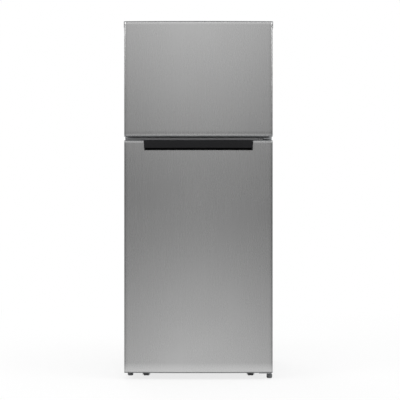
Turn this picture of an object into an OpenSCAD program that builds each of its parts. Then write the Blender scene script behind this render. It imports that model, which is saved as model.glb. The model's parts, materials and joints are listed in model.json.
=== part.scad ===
// Top freezer refrigerator: a foamed steel cabinet with two crowned, right-hinged doors.
// X runs to the right, -Y to the front and +Z up. The origin is on the floor, under the middle.

/* [Overall] */
// Width of the cabinet and of both doors
cabinet_w = 700; // [640:1:840]
// Depth of the cabinet without its doors
cabinet_d = 610; // [560:1:740]
// Height of the lower, fridge door
fridge_door_h = 1095; // [980:1:1320]
// Height of the upper, freezer door
freezer_door_h = 542; // [450:1:660]
// Gap between the two doors
door_gap = 19; // [19:1:24]
// Height of the cabinet's underside above the floor
base_z = 30; // [30:1:36]
// Height of the door tops above the cabinet's top
top_step = 24; // [18:1:30]

/* [Walls] */
// Insulated side wall, steel to liner
side_wall = 50; // [42:1:60]
// Insulated top wall
top_wall = 55; // [45:1:66]
// Insulated back wall
back_wall = 60; // [50:1:72]
// Insulated floor of the fridge space
floor_wall = 55; // [45:1:66]
// Insulated divider between freezer and fridge
divider_t = 66; // [60:1:80]
// Cabinet and door sheet steel
sheet_t = 1; // [0.8:0.1:1.2]
// Plastic liner wall
liner_t = 2; // [1.6:0.2:2.4]
// Height of the compressor bay
bay_h = 210; // [190:1:250]
// Depth of the compressor bay
bay_d = 200; // [190:1:240]

/* [Doors] */
// Thickness of a door at its sides
door_t = 60; // [50:1:72]
// Bulge of a door's front between its sides
crown = 8; // [4:0.5:12]
// Radius of a door's upright front edges
door_corner_r = 8; // [4:0.5:12]
// Space between the doors and the cabinet, filled by the gaskets
seal_gap = 12; // [10:0.5:14]
// Visible edge of a door's end caps
cap_edge = 4; // [3:0.5:6]
// Depth of the end caps' plug inside the door
cap_plug = 12; // [12:1:20]
// Width of a door gasket
gasket_w = 18; // [14:1:18]
// Depth of the rim on a door's inner liner
dyke_d = 20; // [14:1:22]
// Depth of a door bin
bin_d = 92; // [75:1:98]

/* [Handle] */
// Width of the pocket handle
handle_w = 516; // [400:1:560]
// Height of the pocket handle
handle_h = 47; // [42:1:60]
// Height of the finger slot under the grip plate
slot_h = 11; // [10:1:16]
// Depth of the pocket behind the door's face
pocket_d = 36; // [30:1:40]
// How far the grip plate stands out from the door
handle_proud = 4; // [2:0.5:6]

/* [Hinges] */
// Radius of the hinge pins
pin_r = 4.5; // [4:0.25:5.5]
// Radial clearance of the pins in the doors
pin_fit = 0.1; // [0.05:0.01:0.15]
// Distance of the hinge axis from the cabinet's side
axis_in = 13; // [12:0.5:18]
// Distance of the hinge axis from the cabinet's face
axis_out = 42; // [40:0.5:46]

/* [Feet and rollers] */
// Radius of a levelling foot
foot_r = 13.5; // [11:0.5:16]
// Height of a levelling foot's pad
foot_h = 21; // [16:1:22]
// Radius of a foot's threaded stem
stem_r = 4; // [3:0.5:5]
// Radius of a front roller
front_roller_r = 12.5; // [10:0.5:13]
// Floor clearance of the front rollers
front_roller_lift = 3; // [2:0.5:4]
// Radius of a rear roller
rear_roller_r = 13; // [11:0.5:14]
// Width of a roller
roller_w = 26; // [20:1:30]
// Radius of the roller axles
axle_r = 2.5; // [2:0.25:3]

/* [Interior] */
// Thickness of a glass shelf
pane_t = 4; // [3:0.5:5]
// Height of a shelf's frame
shelf_h = 10; // [8:1:14]
// Height of the crisper drawers
crisper_h = 172; // [140:1:180]
// Wall of drawers and bins
bin_wall = 3; // [2:0.5:4]
// Number of fins on the evaporator
fin_count = 22; // [12:1:30]
// Number of wires on the freezer shelf
wire_count = 19; // [11:1:25]
// Radius of the fan
fan_r = 46; // [36:1:50]
// Radius of the compressor
compressor_r = 70; // [60:1:78]

/* [Hidden] */
$fn = 48;

// Clearances and small common sizes
fit = 0.3;
eps = 1;
side_gap = 0.5;
spacer_d = 20;

// Depth positions, worked out so that the whole depth is centred on the origin
front_stack = seal_gap + door_t + crown + handle_proud;
face_y = -(cabinet_d + spacer_d - front_stack) / 2;
back_y = face_y + cabinet_d;
door_back_y = face_y - seal_gap;
door_side_y = door_back_y - door_t;
door_apex_y = door_side_y - crown;
half_w = cabinet_w / 2;

// Radius and centre of the doors' crown
crown_r = (half_w * half_w + crown * crown) / (2 * crown);
crown_y = door_apex_y + crown_r;

// Heights
fridge_door_z = base_z + 1.5;
fridge_door_top = fridge_door_z + fridge_door_h;
freezer_door_z = fridge_door_top + door_gap;
freezer_door_top = freezer_door_z + freezer_door_h;
cabinet_top = freezer_door_top - top_step;
mid_z = fridge_door_top + door_gap / 2;

// The two cold spaces
space_half = half_w - side_wall;
space_back = back_y - back_wall;
freezer_floor = mid_z + divider_t / 2;
freezer_ceiling = cabinet_top - top_wall;
fridge_floor = base_z + floor_wall;
fridge_ceiling = mid_z - divider_t / 2;
bay_wall = 50;
bay_top = base_z + bay_h;
bay_front = back_y - bay_d;
step_z = bay_top + bay_wall;
step_y = bay_front - bay_wall;

// Rules shared by gaskets, rims and bins
seal_lap = 5;
dyke_gap = 15;
dyke_lift = 12;
dyke_w = 18;
bin_front_y = door_back_y + fit;
bin_half = space_half - dyke_gap - dyke_w - side_gap;

// Hinge axis
axis_x = half_w - axis_in;
axis_y = face_y - axis_out;
pin_l = 14;
plate_t = 5;
arm_t = 3;

// Fridge interior
shelf_front = door_back_y + bin_d + 23;
shelf_back = space_back - 6;
ledge_w = 10;
ledge_h = 6;
frame_bar = 14;
rabbet = 5;
rib_h = 5;
crisper_z = fridge_floor + rib_h + fit;
crisper_lid_z = crisper_z + crisper_h + 10;
crisper_half = space_half - 3;
crisper_back = step_y - 10;
housing_h = 55;
housing_half = 150;
housing_front = face_y + 11;
housing_back = housing_front + 300;
housing_wall = 2.5;
housing_z = fridge_ceiling - housing_h;
shelf_room = (housing_z - crisper_lid_z) / 4;
shelf_levels = [for (i = [1:3]) crisper_lid_z + i * shelf_room];
dial_x = 70;
dial_y = housing_front + 60;
dial_r = 22;
dial_h = 12;
shaft_r = 4;
lamp_y = housing_front + 190;
lens_l = 120;
lens_w = 70;
switch_x = -120;
switch_r = 3.5;
switch_z = fridge_ceiling - 6;

// Freezer interior
cover_y = space_back - 62;
cover_t = 3;
fan_z = freezer_ceiling - 96;
fan_y = cover_y + 18;
coil_z = freezer_floor + 30;
coil_h = min(220, fan_z - fan_r - coil_z - 20);
coil_d = 44;
coil_y = space_back - coil_d - 3;
coil_half = space_half - 40;
wire_r = 2;
freezer_shelf_z = freezer_floor + 0.46 * (freezer_ceiling - freezer_floor);

// Under the cabinet
foot_left_pos = [-half_w + 22, face_y + 53];
foot_right_pos = [axis_x, axis_y + 17];
roller_x = half_w - 100;
front_roller_y = face_y + 28;
rear_roller_y = back_y - 60;
rear_roller_x = half_w - 60;
bracket_t = 3;
bracket_gap = 1.5;

// Compressor bay
pan_top = base_z + 2;
bay_side_t = 1.5;
grommet_h = 14;
grommet_r = 11;
compressor_x = -110;
compressor_y = (bay_front + back_y) / 2;
compressor_z = pan_top + grommet_h;
compressor_h = 118;
mount_half_x = 82;
mount_half_y = 55;

// ---------- shared shapes ----------

// A box between two opposite corners
module span(lo, hi) translate(lo) cube(hi - lo);

// A box given by its half width, centred on x = 0
module centred(half, y0, y1, z0, z1) span([-half, y0, z0], [half, y1, z1]);

// Mirrored copies at both sides
module both_sides() {
    children();
    mirror([1, 0, 0]) children();
}

// A cylinder from one point to another
module rod(a, b, r) {
    d = b - a;
    translate(a) rotate([0, acos(d.z / norm(d)), atan2(d.y, d.x)]) cylinder(r = r, h = norm(d));
}

// A tube that follows a list of points, with ball corners
module pipe(points, r) {
    for (i = [1:len(points) - 1]) rod(points[i - 1], points[i], r);
    for (i = [1:1:len(points) - 2]) translate(points[i]) sphere(r = r);
}

// An open box with a floor: outer corners, wall thickness
module tray(lo, hi, wall) {
    difference() {
        span(lo, hi);
        span(lo + [wall, wall, wall], [hi.x - wall, hi.y - wall, hi.z + eps]);
    }
}

// Points of an arc of n steps about c
function arc(c, r, a0, a1, n) =
    [for (i = [0:n]) c + r * [cos(a0 + (a1 - a0) * i / n), sin(a0 + (a1 - a0) * i / n)]];

// Plan outline of a door moved inwards by an inset: side corners and crown meet tangentially
function door_outline(inset, back) =
    let (half = half_w - inset,
         r = max(door_corner_r - inset, 0.5),
         big_r = crown_r - inset,
         a = asin((half - r) / (big_r - r)),
         corner_y = crown_y - (big_r - r) * cos(a))
    concat(
        [[-half, back]],
        arc([-(half - r), corner_y], r, 180, 270 - a, 6),
        arc([0, crown_y], big_r, 270 - a, 270 + a, 28),
        arc([half - r, corner_y], r, 270 + a, 360, 6),
        [[half, back]]);

module door_slab(inset, back, z0, z1)
    translate([0, 0, z0]) linear_extrude(z1 - z0) polygon(door_outline(inset, back));

// ---------- screws ----------

screw_r = 2;
screw_head_r = 4.5;
screw_head_h = 2.4;
screw_l = 12;
// Each screw: the point where its head sits, and the turn that points its shank inwards
hinge_screw_y = [face_y + 24, face_y + 44];
top_screws = [for (y = hinge_screw_y) [[axis_x - 22, y, cabinet_top + arm_t], [180, 0, 0]]];
mid_screws = [for (x = [34, 45]) [[axis_x - x, face_y - arm_t, mid_z], [-90, 0, 0]]];
low_screws = [for (y = hinge_screw_y) [[axis_x - 22, y, base_z - plate_t], [0, 0, 0]]];
panel_screws = [for (x = [-1, 1], z = [0.08, 0.5, 0.92])
    [[x * (half_w - 14), back_y, bay_top + z * (cabinet_top - bay_top)], [90, 0, 0]]];
all_screws = concat(top_screws, mid_screws, low_screws, panel_screws);

module at_screws(list) for (s = list) translate(s[0]) rotate(s[1]) children();

// Clearance holes for the shanks
module screw_holes() at_screws(all_screws) translate([0, 0, -eps]) cylinder(r = screw_r + 0.1, h = screw_l + 2 * eps);

module screws() {
    color("silver") at_screws(all_screws) {
        translate([0, 0, -screw_head_h]) difference() {
            cylinder(r = screw_head_r, h = screw_head_h);
            for (turn = [0, 90]) rotate(turn) span([-2.4, -0.5, -eps], [2.4, 0.5, 1.2]);
        }
        cylinder(r = screw_r, h = screw_l);
    }
}

// ---------- cabinet ----------

shell_corner_r = 8;

// Front view outline of the cabinet, moved inwards by an inset
module cabinet_outline(inset) {
    r = shell_corner_r - inset;
    half = half_w - inset;
    top = cabinet_top - inset;
    polygon(concat([[-half, base_z], [half, base_z]], arc([half - r, top - r], r, 0, 90, 8),
        arc([-half + r, top - r], r, 90, 180, 8)));
}

// A slab of the cabinet's outline between two depths
module cabinet_slab(inset, y0, y1) translate([0, y1, 0]) rotate([90, 0, 0]) linear_extrude(y1 - y0) cabinet_outline(inset);

// The freezer space, grown by a wall
module freezer_space(grow) centred(space_half + grow, face_y - eps, space_back + grow, freezer_floor - grow, freezer_ceiling + grow);

// The fridge space, stepped over the compressor bay, grown by a wall
module fridge_space(grow) {
    translate([-space_half - grow, 0, 0]) rotate([90, 0, 90]) linear_extrude(2 * (space_half + grow)) polygon([
        [face_y - eps, fridge_floor - grow], [step_y + grow, fridge_floor - grow],
        [step_y + grow, step_z - grow], [space_back + grow, step_z - grow],
        [space_back + grow, fridge_ceiling + grow], [face_y - eps, fridge_ceiling + grow]]);
}

module bay_space() centred(half_w + eps, bay_front, back_y + eps, base_z - eps, bay_top);

module outer_shell() {
    color("#b9bcc0") difference() {
        cabinet_slab(0, face_y, back_y);
        cabinet_slab(sheet_t, face_y + sheet_t, back_y + eps);
        freezer_space(liner_t);
        fridge_space(liner_t);
        screw_holes();
    }
}

module back_panel() {
    color("#9fa3a8") difference() {
        cabinet_slab(sheet_t, back_y - sheet_t, back_y);
        bay_space();
        screw_holes();
    }
}

module base_pan() {
    rail_half = half_w - sheet_t;
    color("#5a5d61") difference() {
        union() {
            centred(rail_half, face_y + sheet_t, back_y, base_z, pan_top);
            both_sides() span([rail_half - bay_side_t, bay_front, base_z], [rail_half, back_y, bay_top]);
        }
        translate([foot_left_pos.x, foot_left_pos.y, 0]) cylinder(r = stem_r + 0.1, h = pan_top + eps);
        screw_holes();
    }
}

// Stem pocket over the left foot, closed at its top
module stem_pocket() translate([foot_left_pos.x, foot_left_pos.y, base_z]) cylinder(r = stem_r + 3, h = 22);

module cabinet_foam() {
    color("#efe6b4") difference() {
        cabinet_slab(sheet_t, face_y + sheet_t, back_y - sheet_t);
        centred(half_w, face_y, back_y, base_z - eps, pan_top);
        freezer_space(liner_t);
        fridge_space(liner_t);
        bay_space();
        stem_pocket();
        screw_holes();
    }
}

module freezer_liner() {
    color("white") difference() {
        intersection() {
            freezer_space(liner_t);
            centred(half_w, face_y, back_y, 0, cabinet_top);
        }
        freezer_space(0);
    }
}

module ledges(z) both_sides() span([space_half - ledge_w, shelf_front + 10, z - ledge_h], [space_half, shelf_back - 30, z]);

module fridge_liner() {
    color("white") union() {
        difference() {
            intersection() {
                fridge_space(liner_t);
                centred(half_w, face_y, back_y, 0, cabinet_top);
            }
            fridge_space(0);
        }
        for (z = shelf_levels) ledges(z);
        both_sides() span([space_half - ledge_w, shelf_front + 10, crisper_lid_z - ledge_h], [space_half, step_y, crisper_lid_z]);
        both_sides() for (x = [60, 220])
            span([x - 4, shelf_front, fridge_floor], [x + 4, crisper_back, fridge_floor + rib_h]);
    }
}

trim_out = 30;
trim_h = 9.5;
trim_end = axis_x - 53;

// Steel strip that shows between the doors
module mullion_trim() {
    color("#7c7f83") difference() {
        span([-half_w + 3, face_y - trim_out, mid_z - trim_h / 2], [trim_end, face_y, mid_z + trim_h / 2]);
        span([-half_w + 3 - eps, face_y - trim_out + 1.2, mid_z - trim_h / 2 + 1.2],
             [trim_end + eps, face_y - 1.2, mid_z + trim_h / 2 - 1.2]);
    }
}

// ---------- freezer interior ----------

module evaporator_cover() {
    vent_w = 5;
    color("white") difference() {
        centred(space_half - fit, cover_y - cover_t, cover_y, freezer_floor + fit, freezer_ceiling - fit);
        translate([0, cover_y + eps, fan_z]) rotate([90, 0, 0]) difference() {
            cylinder(r = fan_r + 4, h = cover_t + 2 * eps);
            for (turn = [0:45:135]) rotate(turn) span([-fan_r - 8, -2, -eps], [fan_r + 8, 2, cover_t + 3 * eps]);
            translate([0, 0, -eps]) cylinder(r = 14, h = cover_t + 4 * eps);
        }
        for (i = [-8:8]) translate([i * 28, 0, 0])
            span([-vent_w / 2, cover_y - cover_t - eps, freezer_floor + 10], [vent_w / 2, cover_y + eps, freezer_floor + 50]);
    }
}

module evaporator_coil() {
    pitch = 2 * coil_half / (fin_count - 1);
    rows = [for (k = [0:4]) coil_z + coil_h * (k + 0.5) / 5];
    y = coil_y + coil_d / 2;
    end = coil_half + 12;
    color("#c8ccd0") union() {
        for (i = [0:fin_count - 1]) translate([-coil_half + i * pitch, 0, 0])
            span([-0.5, coil_y, coil_z], [0.5, coil_y + coil_d, coil_z + coil_h]);
        for (z = rows) rod([-end, y, z], [end, y, z], 4);
        for (k = [0:3], s = [(k % 2 == 0) ? 1 : -1])
            rod([s * end, y, rows[k] - 4], [s * end, y, rows[k + 1] + 4], 4);
        both_sides() span([coil_half + 2, coil_y, coil_z + 20], [coil_half + 4, space_back - fit, coil_z + coil_h - 20]);
    }
}

module defrost_heater() {
    z = coil_z - 12;
    y = coil_y + coil_d / 2;
    color("#9a6b4a") {
        rod([-coil_half, y, z], [coil_half, y, z], 4);
        both_sides() span([coil_half - 8, y - 2, z - 2], [coil_half - 5, space_back - fit, z + 2]);
    }
}

module fan_motor() {
    color("#3c3e41") {
        rod([0, fan_y + 10, fan_z], [0, space_back - fit, fan_z], 20);
        rod([0, fan_y - 8, fan_z], [0, fan_y + 10, fan_z], 3);
    }
}

module fan_blade() {
    color("#e8e8e8") translate([0, fan_y, fan_z]) rotate([90, 0, 0]) difference() {
        union() {
            cylinder(r = 11, h = 10, center = true);
            for (turn = [0:90:270]) rotate(turn) rotate([28, 0, 0]) span([9, -13, -0.8], [fan_r - 2, 13, 0.8]);
        }
        cylinder(r = 3.1, h = 40, center = true);
    }
}

module freezer_shelf() {
    half = space_half - fit;
    pitch = 2 * (half - 12) / (wire_count - 1);
    y0 = shelf_front;
    y1 = cover_y - cover_t - 10;
    color("white") {
        for (i = [0:wire_count - 1]) translate([-half + 12 + i * pitch, 0, 0])
            rod([0, y0, freezer_shelf_z], [0, y1, freezer_shelf_z], wire_r);
        for (y = [y0 + 2, (y0 + y1) / 2, y1 - 2])
            rod([-half, y, freezer_shelf_z - 1.5 * wire_r], [half, y, freezer_shelf_z - 1.5 * wire_r], wire_r);
    }
}

// ---------- fridge interior ----------

module lamp_place() translate([0, lamp_y, housing_z]) children();

module control_housing() {
    w = housing_wall;
    color("#f2f2f2") difference() {
        centred(housing_half, housing_front, housing_back, housing_z, fridge_ceiling - fit);
        centred(housing_half - w, housing_front + w, housing_back - w, housing_z + w, fridge_ceiling - w);
        for (x = [-dial_x, dial_x]) translate([x, dial_y, housing_z - eps]) cylinder(r = shaft_r + 0.1, h = w + 2 * eps);
        lamp_place() span([-lens_l / 2, -lens_w / 2, -eps], [lens_l / 2, lens_w / 2, w + eps]);
        rod([switch_x, housing_front - eps, switch_z], [switch_x, housing_front + w + eps, switch_z], switch_r + 0.1);
        for (x = [-5:5]) translate([x * 22, 0, 0])
            span([-2, housing_back - w - eps, housing_z + 12], [2, housing_back + eps, fridge_ceiling - 14]);
    }
}

// A control dial under the housing: grip bar, skirt and shaft
module dial(x) translate([x, dial_y, housing_z - fit]) {
    translate([0, 0, -4]) cylinder(r = dial_r, h = 4);
    translate([0, 0, -dial_h]) intersection() {
        cylinder(r = dial_r - 2, h = dial_h - 4);
        span([-5, -dial_r, 0], [5, dial_r, dial_h]);
    }
    cylinder(r = shaft_r, h = 14);
}
module thermostat_dial() color("#e0e2e4") dial(dial_x);
module freezer_dial() color("#e0e2e4") dial(-dial_x);

module lamp() {
    color("#fff4d0") lamp_place() {
        rod([-45, 0, 26], [-10, 0, 26], 9);
        translate([4, 0, 26]) sphere(r = 16);
        span([-58, -14, housing_wall], [-45, 14, 44]);
    }
}

module lamp_cover() {
    g = 0.2;
    color("#eef6fa") lamp_place() difference() {
        span([-lens_l / 2 + g, -lens_w / 2 + g, -5], [lens_l / 2 - g, lens_w / 2 - g, housing_wall]);
        span([-lens_l / 2 + 3, -lens_w / 2 + 3, -3], [lens_l / 2 - 3, lens_w / 2 - 3, housing_wall + eps]);
    }
}

// Plunger that the closed door's liner holds pressed
module fridge_switch() {
    color("white") rod([switch_x, door_back_y + fit, switch_z], [switch_x, housing_front + 20, switch_z], switch_r);
}

module shelf_ring(z, y0, y1) {
    half = space_half - 2;
    difference() {
        centred(half, y0, y1, z, z + shelf_h);
        centred(half - frame_bar, y0 + frame_bar, y1 - frame_bar, z - eps, z + shelf_h + eps);
        centred(half - rabbet, y0 + rabbet, y1 - rabbet, z + shelf_h - pane_t, z + shelf_h + eps);
    }
}
module shelf_pane(z, y0, y1) {
    half = space_half - 2 - rabbet - fit;
    centred(half, y0 + rabbet + fit, y1 - rabbet - fit, z + shelf_h - pane_t, z + shelf_h);
}
module shelf_frames() color("#f4f4f4") for (z = shelf_levels) shelf_ring(z, shelf_front, shelf_back);
module shelf_panes() {
    color("#d9ecef") {
        for (z = shelf_levels) shelf_pane(z, shelf_front, shelf_back);
        shelf_pane(crisper_lid_z, shelf_front, step_y - fit);
    }
}

slider_travel = 30;
slider_half = 12;
slot_z = crisper_lid_z + shelf_h / 2;

module crisper_cover() {
    color("#f4f4f4") difference() {
        shelf_ring(crisper_lid_z, shelf_front, step_y - fit);
        centred(slider_travel + slider_half + 1, shelf_front - eps, shelf_front + 3, slot_z - 2.2, slot_z + 0.8);
    }
}

module humidity_slider() {
    color("#8fa3ad") {
        centred(slider_half, shelf_front - 5, shelf_front - fit, slot_z - 4, slot_z + 4);
        centred(slider_half, shelf_front - fit, shelf_front + 2.6, slot_z - 1.9, slot_z + 0.5);
    }
}

module crisper(side) {
    x0 = side < 0 ? -crisper_half : 4;
    x1 = side < 0 ? -4 : crisper_half;
    lip = 14;
    grip_z = crisper_z + crisper_h - 23;
    tray([x0, shelf_front, crisper_z], [x1, crisper_back, crisper_z + crisper_h], bin_wall);
    span([x0 + 40, shelf_front - lip, grip_z - bin_wall], [x1 - 40, shelf_front, grip_z]);
    span([x0 + 40, shelf_front - lip, grip_z - 19], [x1 - 40, shelf_front - lip + bin_wall, grip_z - bin_wall]);
}
module crisper_left() color("#e4eef2") crisper(-1);
module crisper_right() color("#e4eef2") crisper(1);

// ---------- hinges ----------

// A plate with a round nose on the hinge axis, reaching back to a depth
module hinge_arm(z0, z1, inner, back) {
    nose = 10;
    translate([axis_x, axis_y, z0]) cylinder(r = nose, h = z1 - z0);
    span([axis_x - inner, axis_y, z0], [axis_x + nose, back, z1]);
    span([axis_x - inner, axis_y - nose, z0], [axis_x, axis_y, z1]);
}
module hinge_post(z0, z1, r) translate([axis_x, axis_y, z0]) cylinder(r = r, h = z1 - z0);

arm_z = freezer_door_top + 0.5;
hinge_foot_back = face_y + 56;
web_y = face_y + 14;

module top_hinge() {
    color("#8b8f94") difference() {
        union() {
            hinge_arm(arm_z, arm_z + arm_t, 32, web_y);
            hinge_post(freezer_door_top - pin_l, arm_z, pin_r);
            span([axis_x - 32, web_y, cabinet_top], [axis_x + 10, web_y + arm_t, arm_z + arm_t]);
            span([axis_x - 32, web_y + arm_t, cabinet_top], [axis_x + 10, hinge_foot_back, cabinet_top + arm_t]);
        }
        screw_holes();
    }
}

module top_hinge_cover() {
    w = 2;
    y0 = web_y + arm_t + fit;
    lo = [axis_x - 40, y0, cabinet_top];
    hi = [axis_x + 12, hinge_foot_back + 8, cabinet_top + top_step - 2];
    color("#3a3c3f") difference() {
        span(lo, hi);
        span([lo.x + w, lo.y - eps, lo.z - eps], hi - [w, w, w]);
    }
}

module middle_hinge() {
    flange_h = 16;
    color("#8b8f94") difference() {
        union() {
            hinge_arm(mid_z - plate_t / 2, mid_z + plate_t / 2, 28, face_y);
            span([axis_x - 50.5, face_y - arm_t, mid_z - flange_h / 2], [axis_x + 10, face_y, mid_z + flange_h / 2]);
            hinge_post(fridge_door_top - pin_l, freezer_door_z + pin_l, pin_r);
            hinge_post(mid_z, freezer_door_z, 8);
        }
        screw_holes();
    }
}

module lower_hinge() {
    color("#8b8f94") difference() {
        union() {
            hinge_arm(base_z - plate_t, base_z, 50, hinge_foot_back);
            hinge_post(base_z, fridge_door_z + pin_l, pin_r);
            hinge_post(base_z, fridge_door_z, 8.5);
        }
        translate([foot_right_pos.x, foot_right_pos.y, base_z - plate_t - eps]) cylinder(r = stem_r + 0.1, h = plate_t + 2 * eps);
        screw_holes();
    }
}

// ---------- feet and rollers ----------

module foot(pos, stem_top) {
    nut_h = 3.5;
    color("#55585b") translate([pos.x, pos.y, 0]) {
        translate([0, 0, 2]) cylinder(r = foot_r, h = foot_h - 2);
        cylinder(r = foot_r - 1.5, h = 2);
        translate([0, 0, foot_h]) cylinder(r = 8.5, h = nut_h, $fn = 6);
        translate([0, 0, foot_h]) cylinder(r = stem_r, h = stem_top - foot_h);
    }
}
module foot_left() foot(foot_left_pos, base_z + 18);
module foot_right() foot(foot_right_pos, base_z);

front_roller_z = front_roller_lift + front_roller_r;

module roller(x, y, z, r) {
    color("#3e4043") translate([x - roller_w / 2, y, z]) rotate([0, 90, 0]) difference() {
        union() {
            translate([0, 0, 2]) cylinder(r = r, h = roller_w - 4);
            cylinder(r = r - 2, h = roller_w);
        }
        translate([0, 0, -eps]) cylinder(r = axle_r + 0.1, h = roller_w + 2 * eps);
    }
}
module front_roller_left() roller(-roller_x, front_roller_y, front_roller_z, front_roller_r);
module front_roller_right() roller(roller_x, front_roller_y, front_roller_z, front_roller_r);
module rear_roller_left() roller(-rear_roller_x, rear_roller_y, rear_roller_r, rear_roller_r);
module rear_roller_right() roller(rear_roller_x, rear_roller_y, rear_roller_r, rear_roller_r);

// Two ears and the axle between them
module bracket(x, y, z) {
    inner = roller_w / 2 + bracket_gap;
    for (s = [-1, 1]) translate([x, 0, 0]) scale([s, 1, 1])
        span([inner, y - 11, z - 7], [inner + bracket_t, y + 11, base_z]);
    rod([x - inner - bracket_t, y, z], [x + inner + bracket_t, y, z], axle_r);
}
module roller_brackets() {
    color("#707478") {
        for (x = [-roller_x, roller_x]) bracket(x, front_roller_y, front_roller_z);
        for (x = [-rear_roller_x, rear_roller_x]) bracket(x, rear_roller_y, rear_roller_r);
    }
}

// ---------- compressor bay ----------

module compressor() {
    plate = 3;
    dome = 40;
    curl = 14;
    r = compressor_r;
    h = compressor_h;
    color("#1d1e20") translate([compressor_x, compressor_y, compressor_z]) {
        difference() {
            span([-mount_half_x - 14, -mount_half_y - 14, 0], [mount_half_x + 14, mount_half_y + 14, plate]);
            for (x = [-1, 1], y = [-1, 1]) translate([x * mount_half_x, y * mount_half_y, -eps]) cylinder(r = 4.2, h = plate + 2 * eps);
        }
        translate([0, 0, plate]) rotate_extrude() polygon(concat([[0, 0]],
            arc([r - curl, curl], curl, -90, 0, 6), arc([r - dome, h - dome], dome, 0, 90, 10), [[0, h]]));
    }
}

module compressor_grommets() {
    color("#26282a") for (x = [-1, 1], y = [-1, 1])
        translate([compressor_x + x * mount_half_x, compressor_y + y * mount_half_y, pan_top]) {
            cylinder(r = grommet_r, h = grommet_h);
            cylinder(r = 4, h = grommet_h + 6);
        }
}

module relay_cover() {
    x = compressor_x + compressor_r + fit;
    color("#2c2e31") span([x, compressor_y - 24, compressor_z + 40], [x + 34, compressor_y + 24, compressor_z + 92]);
}

module pipework() {
    pipe_r = 3;
    out = compressor_r + fit;
    far = 86;
    z = compressor_z + 50;
    high = bay_top - 24;
    left = compressor_x - compressor_r - 62;
    right = compressor_x + 190;
    y = compressor_y;
    color("#b06a3c") {
        pipe([[compressor_x - out, y, z], [left, y, z], [left, y, high], [left, bay_front, high]], pipe_r);
        rod([left, y, z + 22], [left, y, high - 20], 9);
        pipe([[compressor_x, y + out, z], [compressor_x, y + far, z], [right, y + far, z],
              [right, y + far, high], [right, bay_front, high]], pipe_r);
    }
}

module drain_pan() {
    z = compressor_z + 3 + compressor_h;
    color("#d8d8d4") tray([compressor_x - 78, compressor_y - 62, z], [compressor_x + 78, compressor_y + 62, z + 20], 2);
}

gland_x = half_w - 90;
gland_z = bay_top + 40;

module cord_gland() {
    color("#2b2d2f") difference() {
        union() {
            rod([gland_x, back_y, gland_z], [gland_x, back_y + 3, gland_z], 14);
            rod([gland_x, back_y, gland_z], [gland_x, back_y + 10, gland_z], 8);
        }
        rod([gland_x, back_y + 1, gland_z], [gland_x, back_y + 12, gland_z], 4);
    }
}

spacer_x = half_w - 110;
spacer_z = cabinet_top - 150;

module rear_spacers() {
    color("#4a4d50") both_sides()
        span([spacer_x - 22, back_y, spacer_z], [spacer_x + 22, back_y + spacer_d, spacer_z + 60]);
}

// ---------- doors ----------

handle_back = door_apex_y + pocket_d + 2;
handle_z = fridge_door_top - handle_h;
handle_slant = 3;
grip_t = 9;

// The handle's tapered outline, moved inwards by an inset, between two depths and heights
module handle_block(inset, y0, y1, z0, z1) {
    half = handle_w / 2 - inset;
    translate([0, y1, 0]) rotate([90, 0, 0]) linear_extrude(y1 - y0) intersection() {
        polygon([[-half, fridge_door_top + eps], [-half + handle_slant, handle_z], [half - handle_slant, handle_z], [half, fridge_door_top + eps]]);
        translate([-half, z0]) square([2 * half, z1 - z0]);
    }
}
module handle_place() handle_block(0, door_apex_y - 30, handle_back, handle_z, fridge_door_top + eps);

module fridge_handle() {
    pocket_back = handle_back - 2;
    lip = 1.5;
    color("#17181a") difference() {
        intersection() {
            door_slab(-handle_proud, handle_back, handle_z, fridge_door_top);
            handle_block(0, door_apex_y - 30, handle_back, handle_z, fridge_door_top);
        }
        handle_block(4, door_apex_y - handle_proud + grip_t, pocket_back, handle_z + lip, fridge_door_top - 4);
        handle_block(4, door_apex_y - 30, pocket_back, handle_z + lip, handle_z + slot_h);
    }
}

module door_skin(z0, z1) {
    difference() {
        door_slab(0, door_back_y, z0 + cap_edge, z1 - cap_edge);
        door_slab(sheet_t, door_back_y + eps, z0, z1);
    }
}

// An end cap: its visible edge, its plug between the skins, and the bore for a hinge pin.
// way is 1 on top of a door and -1 underneath.
module door_cap(z, way) {
    z_edge = z - way * cap_edge;
    z_in = z_edge - way * cap_plug;
    difference() {
        union() {
            door_slab(0, door_back_y, min(z, z_edge), max(z, z_edge));
            door_slab(sheet_t, door_back_y - liner_t, min(z_edge, z_in), max(z_edge, z_in));
        }
        hinge_post(min(z, z_in) - (way < 0 ? eps : 0), max(z, z_in) + (way > 0 ? eps : 0), pin_r + pin_fit);
    }
}

module door_foam(z0, z1) door_slab(sheet_t, door_back_y - liner_t, z0 + cap_edge + cap_plug, z1 - cap_edge - cap_plug);

// A ring in front of an opening, between its outer and inner edges
module door_ring(outer, w, y0, y1, z0, z1) {
    difference() {
        centred(outer, y0, y1, z0, z1);
        centred(outer - w, y0 - eps, y1 + eps, z0 + w, z1 - w);
    }
}

module door_gasket(z0, z1) {
    lap = seal_lap + gasket_w;
    door_ring(space_half + lap, gasket_w, door_back_y, face_y - fit, z0 - lap, z1 + lap);
}

// Inner liner: back sheet, raised rim, and a rest under both ends of each bin
module door_liner(door_z0, door_z1, z0, z1, bins) {
    rim_half = space_half - dyke_gap;
    inner = rim_half - dyke_w;
    centred(half_w - sheet_t, door_back_y - liner_t, door_back_y, door_z0 + cap_edge, door_z1 - cap_edge);
    door_ring(rim_half, dyke_w, door_back_y, door_back_y + dyke_d, z0 + dyke_lift, z1 - dyke_lift);
    for (z = bins) both_sides() span([inner - 14, door_back_y, z - 6], [inner, door_back_y + dyke_d - 4, z]);
}

bin_h = 85;
module door_bins(levels) for (z = levels)
    tray([-bin_half, bin_front_y, z], [bin_half, door_back_y + bin_d, z + bin_h], bin_wall);

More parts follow.
